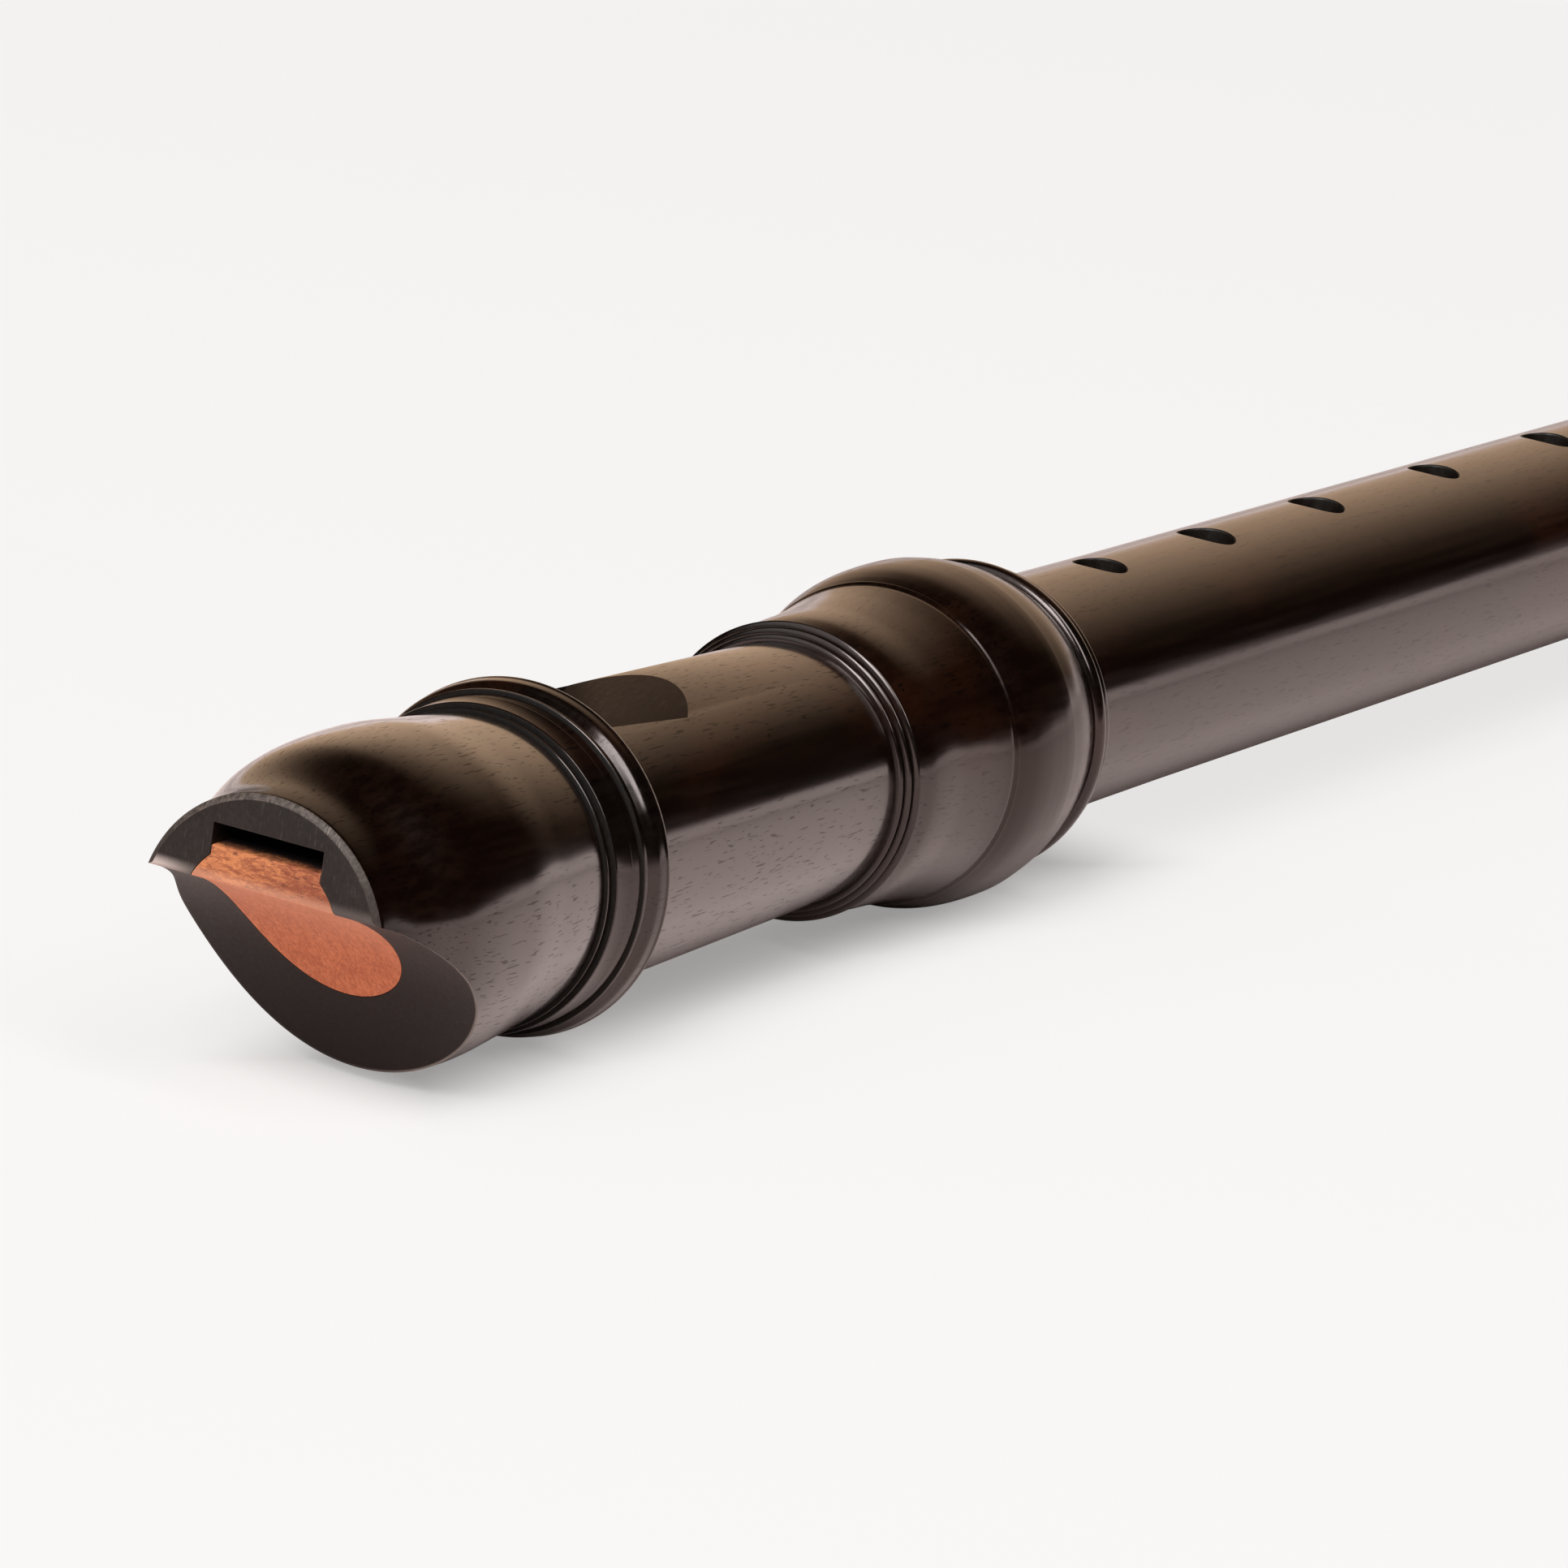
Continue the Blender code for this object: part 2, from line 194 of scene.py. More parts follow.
def paintRings(piece, start, rings):
    # a ring is (from, to, least radius) on its own joint
    joint = start - headStart
    for low, high, least in rings:
        paintWhere(piece, ringFinish, lambda a, r, face: low < a - joint < high and r > least)


# Finishes

def newFinish(name, roughness):
    finish = bpy.data.materials.new(name)
    finish.use_nodes = True
    shader = finish.node_tree.nodes["Principled BSDF"]
    shader.inputs["Roughness"].default_value = roughness
    return finish, finish.node_tree, shader


def stretchedPlace(tree, stretch):
    # object coordinates, pulled out so that a pattern runs along the grain
    place = tree.nodes.new("ShaderNodeTexCoord")
    mapping = tree.nodes.new("ShaderNodeMapping")
    mapping.inputs["Scale"].default_value = stretch
    tree.links.new(place.outputs["Object"], mapping.inputs["Vector"])
    return mapping.outputs["Vector"]


def placeParts(tree):
    # the object's own x, y and z
    place = tree.nodes.new("ShaderNodeTexCoord")
    parts = tree.nodes.new("ShaderNodeSeparateXYZ")
    tree.links.new(place.outputs["Object"], parts.inputs[0])
    return parts.outputs


def noiseAt(tree, stretch, detail=2.0, roughness=0.5):
    noise = tree.nodes.new("ShaderNodeTexNoise")
    noise.inputs["Scale"].default_value = 1.0
    noise.inputs["Detail"].default_value = detail
    noise.inputs["Roughness"].default_value = roughness
    tree.links.new(stretchedPlace(tree, stretch), noise.inputs["Vector"])
    return noise.outputs["Fac"]


def dotsAt(tree, stretch):
    dots = tree.nodes.new("ShaderNodeTexVoronoi")
    dots.inputs["Scale"].default_value = 1.0
    tree.links.new(stretchedPlace(tree, stretch), dots.inputs["Vector"])
    return dots.outputs["Distance"]


def rescale(tree, value, low, high, newLow=0.0, newHigh=1.0):
    node = tree.nodes.new("ShaderNodeMapRange")
    node.interpolation_type = "SMOOTHSTEP"
    node.inputs["From Min"].default_value = low
    node.inputs["From Max"].default_value = high
    node.inputs["To Min"].default_value = newLow
    node.inputs["To Max"].default_value = newHigh
    tree.links.new(value, node.inputs["Value"])
    return node.outputs["Result"]


def combine(tree, operation, first, second=0.0):
    node = tree.nodes.new("ShaderNodeMath")
    node.operation = operation
    for socket, value in zip(node.inputs, (first, second)):
        if isinstance(value, (int, float)):
            socket.default_value = value
        else:
            tree.links.new(value, socket)
    return node.outputs[0]


def times(tree, first, second):
    return combine(tree, "MULTIPLY", first, second)


def plus(tree, first, second):
    return combine(tree, "ADD", first, second)


def minus(tree, first, second):
    return combine(tree, "SUBTRACT", first, second)


def distance(tree, first, second):
    squares = plus(tree, times(tree, first, first), times(tree, second, second))
    return combine(tree, "SQRT", squares)


def mixColours(tree, amount, first, second):
    node = tree.nodes.new("ShaderNodeMix")
    node.data_type = "RGBA"
    tree.links.new(amount, node.inputs["Factor"])
    for socket, value in ((node.inputs["A"], first), (node.inputs["B"], second)):
        if isinstance(value, tuple):
            socket.default_value = (*value, 1.0)
        else:
            tree.links.new(value, socket)
    return node.outputs["Result"]


def mixShaders(tree, amount, first, second, target):
    node = tree.nodes.new("ShaderNodeMixShader")
    tree.links.new(amount, node.inputs[0])
    tree.links.new(first, node.inputs[1])
    tree.links.new(second, node.inputs[2])
    tree.links.new(node.outputs[0], tree.nodes[target].inputs["Surface"])


def raiseSurface(tree, shader, height, depth, strength):
    bump = tree.nodes.new("ShaderNodeBump")
    bump.inputs["Distance"].default_value = depth * mm
    bump.inputs["Strength"].default_value = strength
    tree.links.new(height, bump.inputs["Height"])
    tree.links.new(bump.outputs["Normal"], shader.inputs["Normal"])


ridgeLine = (0.1, 4.4)  # from the end of the beak, and up from the bore
ridgeReach = 1.2
fullRamp = 20  # the radius that white stands for in the rim's ramp


def nearRidge(tree, x, z):
    # 1 on the ridge between the end face and the scoop, 0 beyond its reach
    along = minus(tree, x, *fromBeak(ridgeLine[0]))
    up = minus(tree, z, *fromBore(ridgeLine[1]))
    return rescale(tree, distance(tree, along, up), 0.0, ridgeReach * mm, 1.0, 0.0)


def nearRim(tree, parts, rim, reach):
    # 1 where a cut runs out at the turned outside, 0 this far inside it
    x, y, z = parts
    length = rim[-1][0]
    curve = tree.nodes.new("ShaderNodeValToRGB")
    along = times(tree, minus(tree, x, *fromBeak(0)), 1 / (length * mm))
    tree.links.new(along, curve.inputs["Fac"])
    stops = curve.color_ramp.elements
    stops[0].color = (rim[0][1] / fullRamp,) * 3 + (1,)
    stops[1].color = (rim[-1][1] / fullRamp,) * 3 + (1,)
    for station, radius in rim[1:-1]:
        stops.new(station / length).color = (radius / fullRamp,) * 3 + (1,)
    outside = times(tree, curve.outputs["Color"], fullRamp * mm)
    inside = minus(tree, outside, distance(tree, y, minus(tree, z, *fromBore(0))))
    return rescale(tree, inside, reach * mm / 4, reach * mm, 1.0, 0.0)


blackwood = {
    "heart": (0.0042, 0.0017, 0.0010),
    "streak": (0.0095, 0.0038, 0.0021),
    "warm": (0.0230, 0.0068, 0.0030),
    "warmFrom": (20, 60),  # the reddish patches come in behind the nose
    "warmShare": (0.05, 0.65),
    "pore": (0.0016, 0.0010, 0.0008),
    "roughness": 0.165,
    "coatRoughness": 0.115,
    "tint": (1.0, 0.84, 0.80, 1),
    "ior": 1.6,
    "polish": (1.0, 0.3),  # at the beak, and from the socket bulb onward
    "polishFades": (92, 122),
    "bareBulb": 136.5,
    "bareReach": (9, 12),
    "wornEnd": (2, 11),
    "wornShare": 0.7,
    "streakStretch": (28, 900, 900),
    "cloudStretch": (30, 60, 60),
    "poreStretch": (430, 4000, 4000),
    "fineStretch": (160, 3200, 3200),
    "waveStretch": (70, 190, 190),
}
ringPolish = dict(
    blackwood,
    heart=(0.0036, 0.0022, 0.0017),
    streak=(0.0060, 0.0036, 0.0026),
    roughness=0.16,
    polish=(0.35, 0.3),
)


def oiledWood(name, look):
    finish, tree, shader = newFinish(name, look["roughness"])
    x = placeParts(tree)["X"]
    streaks = noiseAt(tree, look["streakStretch"], 4.0, 0.6)
    clouds = noiseAt(tree, look["cloudStretch"])
    tone = rescale(tree, clouds, 0.3, 0.7, 0.4, 1.0)
    tone = times(tree, rescale(tree, streaks, 0.35, 0.7), tone)
    wood = mixColours(tree, tone, look["heart"], look["streak"])
    behindNose = rescale(tree, x, *fromBeak(*look["warmFrom"]), *look["warmShare"])
    reddened = times(tree, rescale(tree, clouds, 0.48, 0.68), behindNose)
    wood = mixColours(tree, reddened, wood, look["warm"])
    pores = rescale(tree, noiseAt(tree, look["poreStretch"], 1.0), 0.63, 0.68)
    wood = mixColours(tree, pores, wood, look["pore"])
    tree.links.new(wood, shader.inputs["Base Color"])
    even = look["roughness"]
    gloss = rescale(tree, streaks, 0.3, 0.7, even - 0.03, even + 0.05)
    tree.links.new(gloss, shader.inputs["Roughness"])
    fine = times(tree, noiseAt(tree, look["fineStretch"]), 0.3)
    waves = times(tree, noiseAt(tree, look["waveStretch"]), 3.5)
    raiseSurface(tree, shader, plus(tree, fine, waves), 0.02, 0.14)
    # the polish fades behind the window, is gone on the bulb and doesn't fill the pores
    shine = rescale(tree, x, *fromBeak(*look["polishFades"]), *look["polish"])
    fromBulb = combine(tree, "ABSOLUTE", minus(tree, x, *fromBeak(look["bareBulb"])))
    near, far = look["bareReach"]
    shine = times(tree, shine, rescale(tree, fromBulb, near * mm, far * mm))
    filled = minus(tree, 1.0, times(tree, pores, 0.9))
    tree.links.new(times(tree, shine, filled), shader.inputs["Coat Weight"])
    shader.inputs["Coat Roughness"].default_value = look["coatRoughness"]
    shader.inputs["Specular Tint"].default_value = look["tint"]
    shader.inputs["IOR"].default_value = look["ior"]
    # lips have taken the polish off round the beak's end
    dull = tree.nodes.new("ShaderNodeBsdfDiffuse")
    tree.links.new(wood, dull.inputs["Color"])
    wearAndPaintedLight = rescale(tree, x, *fromBeak(*look["wornEnd"]), look["wornShare"], 0.0)
    mixShaders(tree, wearAndPaintedLight, shader.outputs[0], dull.outputs[0], "Material Output")
    return finish


sandedCut = {
    "dark": (0.0096, 0.0065, 0.0053),
    "light": (0.0238, 0.0172, 0.0145),
    "scratch": (0.050, 0.039, 0.034),
    # a pale colour for lip wear, and for painted light and a painted highlight on the scoop's upper
    # part and ridge
    "wearAndPaintedLight": (0.60, 0.51, 0.47),
    # a dark colour for painted shade low down in the scoop
    "paintedScoopShade": (0.0070, 0.0042, 0.0033),
    # a pale colour painted as a highlight where a cut runs out at the outside
    "rimColour": (0.24, 0.21, 0.19),
    "roughness": 0.50,
}
brokenEdge = {
    "dark": (0.030, 0.022, 0.019),
    "light": (0.180, 0.145, 0.125),
    "scratch": (0.26, 0.22, 0.19),
    "roughness": 0.50,
    "paintedTopLight": (6.5, 11.5),  # painted light: the edge shades from painted dark to pale between these heights above the bore
}
rampWood = {
    "dark": (0.0060, 0.0030, 0.0022),
    "light": (0.0200, 0.0100, 0.0072),
    "scratch": (0.040, 0.024, 0.019),
    "roughness": 0.45,
    "specular": 0.16,
}
# the crest of the ring's lip, painted pale as its thin highlight
rimHighlightLook = {
    "dark": (0.10, 0.082, 0.068),
    "light": (0.24, 0.20, 0.165),
    "scratch": (0.30, 0.26, 0.22),
    "roughness": 0.35,
}
grooveWall = {
    "dark": (0.004, 0.003, 0.0025),
    "light": (0.010, 0.008, 0.0066),
    "scratch": (0.016, 0.013, 0.011),
    "roughness": 0.5,
    "specular": 0.15,
}
boreWood = {
    "dark": (0.006, 0.0038, 0.0028),
    "light": (0.013, 0.0085, 0.0060),
    "scratch": (0.020, 0.014, 0.010),
    "roughness": 0.38,
}


def sandedWood(name, look):
    # cut faces left dull from the fine abrasive
    finish, tree, shader = newFinish(name, look["roughness"])
    grain = noiseAt(tree, (900, 2400, 2400), 4.0, 0.7)
    clouds = noiseAt(tree, (120, 160, 160), 3.0, 0.6)
    scratches = rescale(tree, noiseAt(tree, (420, 5200, 900), 1.0), 0.60, 0.74)
    tone = rescale(tree, clouds, 0.3, 0.7, 0.55, 1.0)
    tone = times(tree, rescale(tree, grain, 0.25, 0.75), tone)
    wood = mixColours(tree, tone, look["dark"], look["light"])
    wood = mixColours(tree, times(tree, scratches, 0.5), wood, look["scratch"])
    x, y, z = parts = placeParts(tree)
    if "wearAndPaintedLight" in look:
        # painted shade darkens the scoop low down, painted light pales it higher up, and the ridge
        # gets lip wear with a painted highlight
        paintedScoopShade = rescale(tree, z, *fromBore(-12, 4), 0.75, 0.0)
        wood = mixColours(tree, paintedScoopShade, wood, look["paintedScoopShade"])
        # painted light: the scoop pales a little higher up
        paintedUpperLight = rescale(tree, z, *fromBore(-7, 3), 0.0, 0.035)
        paintedUpperLight = times(tree, paintedUpperLight, rescale(tree, x, *fromBeak(0.3, 1.2)))
        wood = mixColours(tree, paintedUpperLight, wood, look["wearAndPaintedLight"])
        # the ridge's painted highlight and lip wear, strongest towards +y
        ridgeHighlightAcross = rescale(tree, y, 7.0 * mm, 13.3 * mm, 0.13, 1.0)
        wood = mixColours(tree, times(tree, nearRidge(tree, x, z), ridgeHighlightAcross), wood, look["wearAndPaintedLight"])
    # painted light: the broken edge is darker lower down and pale towards the top
    if "paintedTopLight" in look:
        low = rescale(tree, z, *fromBore(*look["paintedTopLight"]), 0.85, 0.0)
        wood = mixColours(tree, low, wood, look["dark"])
    if "rim" in look:
        # a painted highlight along the line where the cut meets the turned outside, strongest
        # towards -y
        rimLineHighlight = rescale(tree, y, -8 * mm, 2 * mm, 0.8, 0.1)
        rimLineHighlight = times(tree, nearRim(tree, parts, look["rim"], 0.3), rimLineHighlight)
        wood = mixColours(tree, rimLineHighlight, wood, look["rimColour"])
    tree.links.new(wood, shader.inputs["Base Color"])
    even = look["roughness"]
    gloss = rescale(tree, grain, 0.2, 0.8, even - 0.05, even + 0.1)
    tree.links.new(gloss, shader.inputs["Roughness"])
    raiseSurface(tree, shader, grain, 0.03, 0.35)
    shader.inputs["Specular IOR Level"].default_value = look.get("specular", 0.3)
    return finish


cedarLook = {
    "early": (0.68, 0.215, 0.090),
    "late": (0.47, 0.124, 0.050),
    "fleck": (0.77, 0.30, 0.15),
    "fleckShare": 0.4,
    "pit": (0.20, 0.045, 0.020),
    "grainStretch": (640, 3400, 1900),
    # a pale colour for the upper scoop, and for lip wear with a painted highlight on the ridge
    "wearAndPaintedLight": (0.80, 0.42, 0.27),
    "paleHigherUp": 0.32,
    "darkerTowardMinusY": 0.0,
    "roughness": 0.60,
}
cedarEnd = dict(
    cedarLook,
    early=(0.63, 0.230, 0.083),
    late=(0.26, 0.064, 0.026),
    fleck=(0.085, 0.020, 0.010),
    grainStretch=(900, 1000, 3000),
    fleckShare=0.7,
    paleHigherUp=0.0,
    darkerTowardMinusY=0.4,
)
# the windway's floor carries painted shade just behind its edge
windwayFloor = dict(cedarEnd, paintedWindwayShade=(0.010, 0.004, 0.003))


def cedarWood(name, look):
    finish, tree, shader = newFinish(name, look["roughness"])
    x, y, z = placeParts(tree)

    def grainNoise(finer, detail, roughness=0.5):
        # the grain's own noise, drawn this many times finer
        stretch = tuple(finer * side for side in look["grainStretch"])
        return noiseAt(tree, stretch, detail, roughness)

    rings = rescale(tree, noiseAt(tree, (30, 90, 420), 3.0, 0.6), 0.35, 0.68)
    cells = grainNoise(1.0, 5.0, 0.75)
    patches = rescale(tree, grainNoise(0.3, 2.0), 0.38, 0.62)
    tone = plus(tree, times(tree, rings, 0.25), times(tree, patches, 0.3))
    tone = plus(tree, tone, rescale(tree, cells, 0.45, 0.56, 0.0, 0.58))
    # the tone darkens towards the -y side
    tone = plus(tree, tone, rescale(tree, y, -6.2 * mm, 1.5 * mm, look["darkerTowardMinusY"], 0.0))
    wood = mixColours(tree, tone, look["early"], look["late"])
    flecks = rescale(tree, grainNoise(0.8, 3.0, 0.7), 0.56, 0.68)
    wood = mixColours(tree, times(tree, flecks, look["fleckShare"]), wood, look["fleck"])
    pits = rescale(tree, grainNoise(1.7, 2.0), 0.62, 0.72)
    wood = mixColours(tree, times(tree, pits, 0.6), wood, look["pit"])
    # paler higher up; on the ridge, lip wear with a painted highlight
    paleHigherUp = rescale(tree, z, *fromBore(-5, 4), 0.0, look["paleHigherUp"])
    paleHigherUp = combine(tree, "MAXIMUM", times(tree, nearRidge(tree, x, z), 0.42), paleHigherUp)
    wood = mixColours(tree, paleHigherUp, wood, look["wearAndPaintedLight"])
    if "paintedWindwayShade" in look:
        # painted shade darkens the windway's floor from just behind its ragged edge
        ragged = plus(tree, x, rescale(tree, cells, 0.3, 0.7, -0.5 * mm, 0.5 * mm))
        paintedWindwayShade = rescale(tree, ragged, *fromBeak(0, 2.4))
        inside = rescale(tree, x, *fromBeak(9, 20), 0.0, 0.2)
        wood = mixColours(tree, minus(tree, paintedWindwayShade, inside), wood, look["paintedWindwayShade"])
    tree.links.new(wood, shader.inputs["Base Color"])
    tree.links.new(rescale(tree, cells, 0.2, 0.8, 0.52, 0.72), shader.inputs["Roughness"])
    raiseSurface(tree, shader, minus(tree, cells, flecks), 0.05, 0.5)
    return finish


corkLook = {
    "pale": (0.50, 0.29, 0.14),
    "brown": (0.28, 0.14, 0.06),
    "pit": (0.07, 0.035, 0.018),
    "roughness": 0.8,
}


def corkSheet(name, look):
    finish, tree, shader = newFinish(name, look["roughness"])
    grains = rescale(tree, dotsAt(tree, (900, 900, 900)), 0.1, 0.7)
    clouds = rescale(tree, noiseAt(tree, (300, 300, 300), 3.0), 0.3, 0.7)
    cork = mixColours(tree, times(tree, grains, clouds), look["pale"], look["brown"])
    pits = rescale(tree, noiseAt(tree, (700, 1100, 1100)), 0.64, 0.74)
    tree.links.new(mixColours(tree, pits, cork, look["pit"]), shader.inputs["Base Color"])
    raiseSurface(tree, shader, minus(tree, grains, pits), 0.1, 0.6)
    return finish


woodFinish = oiledWood("oiled_blackwood", blackwood)
ringFinish = oiledWood("polished_rings", ringPolish)
edgeFinish = sandedWood("broken_edge", brokenEdge)
rimFinish = sandedWood("rim_painted_highlight", rimHighlightLook)
grooveFinish = sandedWood("groove_wall", grooveWall)
boreFinish = sandedWood("oiled_bore", boreWood)
cedarFinish = cedarWood("cedar_block", cedarLook)
cedarEndFinish = cedarWood("cedar_end_grain", cedarEnd)
floorFinish = cedarWood("windway_floor", windwayFloor)
corkFinish = corkSheet("tenon_cork", corkLook)
print("finishes mixed")


# Head: beak, rings, window and socket bulb

headShape = {
    "sides": 160,
    "beakEdge": [(0.0, 13.34), (0.07, 13.5), (0.2, 13.7), (0.36, 13.88)],
    "nose": [(0.52, 13.97), (6.2, 14.2), (14.0, 16.9), (23.8, 17.5), (31.6, 16.9), (39.6, 16.15)],
    "thinEdges": [
        # each with a flat-bottomed groove behind it
        (39.88, 16.14), (39.92, 16.42), (39.97, 16.52), (40.05, 16.57), (40.15, 16.57),
        (40.23, 16.5), (40.3, 16.3), (40.92, 16.34), (40.97, 16.84), (41.02, 16.95),
        (41.12, 17.02), (41.24, 17.04), (43.78, 17.1), (43.88, 17.16), (43.97, 17.18),
        (44.08, 17.15), (44.14, 17.1), (44.2, 17.0), (45.3, 17.28), (45.36, 17.54),
        (45.41, 17.66), (45.5, 17.74), (45.62, 17.75), (45.7, 17.7), (45.76, 17.55),
    ],
    "flare": [(46.3, 17.56), (46.85, 17.9), (47.3, 18.2), (47.62, 18.32), (48.62, 18.4)],
    "flareRim": [
        (48.74, 18.43), (48.84, 18.485), (48.95, 18.51), (49.1, 18.51), (49.2, 18.48),
        (49.27, 18.4), (49.3, 18.28), (49.3, 15.6),
    ],
    "tubeEnd": [(104.7, 14.25), (105.2, 14.27), (105.5, 14.3)],
    "beads": [(105.6, 106.3, 14.3, 15.0), (106.4, 107.1, 14.6, 15.6), (107.2, 108.0, 15.0, 16.2)],
    "cove": [(108.25, 15.25), (108.6, 15.2)],
    "bulbFront": [(109.0, 15.3), (112.0, 16.05), (118.0, 16.4), (123.0, 16.85), (127.0, 17.42)],
    "bulbLine": [
        (127.1, 17.4), (127.18, 17.43), (127.34, 17.53), (127.5, 17.64), (127.62, 17.71),
        (127.72, 17.72), (127.8, 17.66),
    ],
    "bulbLand": [
        (127.95, 17.6), (129.3, 18.12), (131.0, 18.6), (133.0, 18.88), (135.0, 18.98),
        (136.6, 19.0),
    ],
    "bulbBack": [(138.2, 18.98), (141.4, 18.5), (144.4, 17.75), (146.9, 16.9)],
    "socketCove": [(147.2, 16.6)],
    "socketBead": (147.4, 149.6, 16.6, 17.5, 16),
    "mouth": [(149.9, 16.85), (150.5, 16.95), (150.8, 16.85), (150.9, 16.6)],
    "length": 150.9,
    "bore": 9.25,
    "socket": 12.25,
    "socketDepth": 26.3,
    "rings": [(39.7, 49.4, 14), (105.3, 108.5, 14.2), (147.2, 151, 14)],
    "grooves": (39.7, 48),
    "rim": (48.9, 49.2, 18),
    "boreUpTo": 12.6,
}


def easedMouth(end, way, radius):
    # the opening of a bore or socket, from its face inward
    return [(end, radius + 0.5), (end + 0.15 * way, radius + 0.2), (end + 0.5 * way, radius)]


def headOutline(shape):
    line = shape["beakEdge"] + bow(shape["nose"], 10) + shape["thinEdges"]
    line += bow(shape["flare"], 5) + shape["flareRim"] + shape["tubeEnd"]
    for ring in shape["beads"]:
        line += bead(*ring)
    line += shape["cove"] + bow(shape["bulbFront"], 8) + shape["bulbLine"]
    line += bow(shape["bulbLand"], 8) + bow(shape["bulbBack"], 8) + shape["socketCove"]
    line += bead(*shape["socketBead"]) + shape["mouth"]
    line += easedMouth(shape["length"], -1, shape["socket"])
    floor = shape["length"] - shape["socketDepth"]
    line += [(floor, shape["socket"]), (floor, shape["bore"]), (0.0, shape["bore"])]
    return line


scoop = {
    "centre": (-7.5, -26.75),
    "radius": 31.8,
    "ridgeRound": 0.5,
    "lowest": -20,  # degrees
    "inFront": -6.0,
    "width": 50,
    "hollowSteps": 72,
    "ridgeSteps": 8,
}


def scoopTool(name, shape, finish):
    # a rasp as wide as the beak: its rim is the hollow's curve, rounded where it meets the end face
    cx, cz = shape["centre"]
    radius, small = shape["radius"], shape["ridgeRound"]
    ridgeZ = cz + math.sqrt((radius + small) ** 2 - (small - cx) ** 2)
    touch = math.atan2(ridgeZ - cz, small - cx)
    lowest = math.radians(shape["lowest"])
    line = []
    for step in range(shape["hollowSteps"] + 1):
        turn = lowest + (touch - lowest) * step / shape["hollowSteps"]
        line.append((cx + radius * math.cos(turn), cz + radius * math.sin(turn)))
    for step in range(1, shape["ridgeSteps"] + 1):
        # from the hollow round to the upright end face
        turn = math.pi + touch - touch * step / shape["ridgeSteps"]
        line.append((small + small * math.cos(turn), ridgeZ + small * math.sin(turn)))
    line += [(shape["inFront"], line[-1][1]), (shape["inFront"], line[0][1])]
    side = -shape["width"] / 2 * mm
    corners = []
    for along, up in line:
        corners.append(Vector(((headStart + along) * mm, side, (boreHeight + up) * mm)))
    tool = drawLine(name, corners)
    bpy.ops.mesh.edge_face_add()
    across = (0, shape["width"] * mm, 0)
    bpy.ops.mesh.extrude_region_move(TRANSFORM_OT_translate={"value": across})
    closeShape(tool, finish)
    return tool


voicing = {
    # each end is (along, half width, low, high)
    "windway": [(-1.0, 6.3, 4.0, 10.008), (51.7, 6.3, 4.0, 9.595)],
    "window": [(51.0, 6.2, 4.0, 24.0), (55.7, 6.2, 4.0, 24.0)],
    "ramp": [(55.0, 6.152, 9.416, 24.0), (82.0, 8.014, 16.531, 24.0)],
    "undercut": [(55.0, 6.152, 4.0, 9.337), (68.0, 7.048, 4.0, 6.8)],
}
endFace = 0.02  # faces nearer the beak's end than this belong to it
edgeUpTo = 0.45
cutFinish = sandedWood("sanded_cut", dict(sandedCut, rim=bow(headShape["nose"], 3)))
rampFinish = sandedWood("sanded_ramp", rampWood)


def makeHead(shape):
    head = turnPiece("head_turned", headOutline(shape), headStart, shape["sides"], woodFinish)
    paintRings(head, headStart, shape["rings"])
    # the upright walls of the grooves stay dull
    low, high = shape["grooves"]
    isWall = lambda a, r, face: low < a < high and abs(face.normal.x) > 0.85
    paintWhere(head, grooveFinish, isWall)
    # the crest of the ring's lip is painted pale as its highlight
    rimLow, rimHigh, rimLeast = shape["rim"]
    paintWhere(head, rimFinish, lambda a, r, face: rimLow < a < rimHigh and r > rimLeast)
    paintWhere(head, boreFinish, lambda a, r, face: r < shape["boreUpTo"])
    paintWhere(head, cutFinish, lambda a, r, face: a < endFace)
    paintWhere(head, edgeFinish, lambda a, r, face: endFace < a < edgeUpTo and r > 13)
    carve(head, scoopTool("scoop_tool", scoop, cutFinish))
    for cut, finish in (
        ("windway", boreFinish),
        ("window", rampFinish),
        ("ramp", rampFinish),
        ("undercut", boreFinish),
    ):
        carve(head, taperedTool(cut + "_tool", voicing[cut], finish))
    smoothPiece(head)
    return head


head = makeHead(headShape)
print("head turned and voiced:", len(head.data.polygons), "faces")


# Block of cedar

blockShape = {
    "radius": 9.17,
    "halfWidth": 6.2,
    "topBeak": 7.8,
    "topExit": 8.5,
    "floorFrom": 7.5,  # what faces up from here is the windway's floor
    "topEdge": 0.15,
    "exitChamfer": 0.5,
    "length": 51.0,
    "roundSteps": 96,
}
hair = 0.1  # for telling the far end and the top from the rest


def blockSection(shape, shoulder):
    # the block seen from its end: most of a circle, and a flat raised part for the windway
    lowest = math.atan2(shoulder, shape["halfWidth"])
    line = []
    for step in range(shape["roundSteps"] + 1):
        turn = lowest - (math.pi + 2 * lowest) * step / shape["roundSteps"]
        line.append((shape["radius"] * math.cos(turn), shape["radius"] * math.sin(turn)))
    side, top, edge = shape["halfWidth"], shape["topBeak"], shape["topEdge"]
    return line + [(-side, top - edge), (-side + edge, top), (side - edge, top), (side, top - edge)]


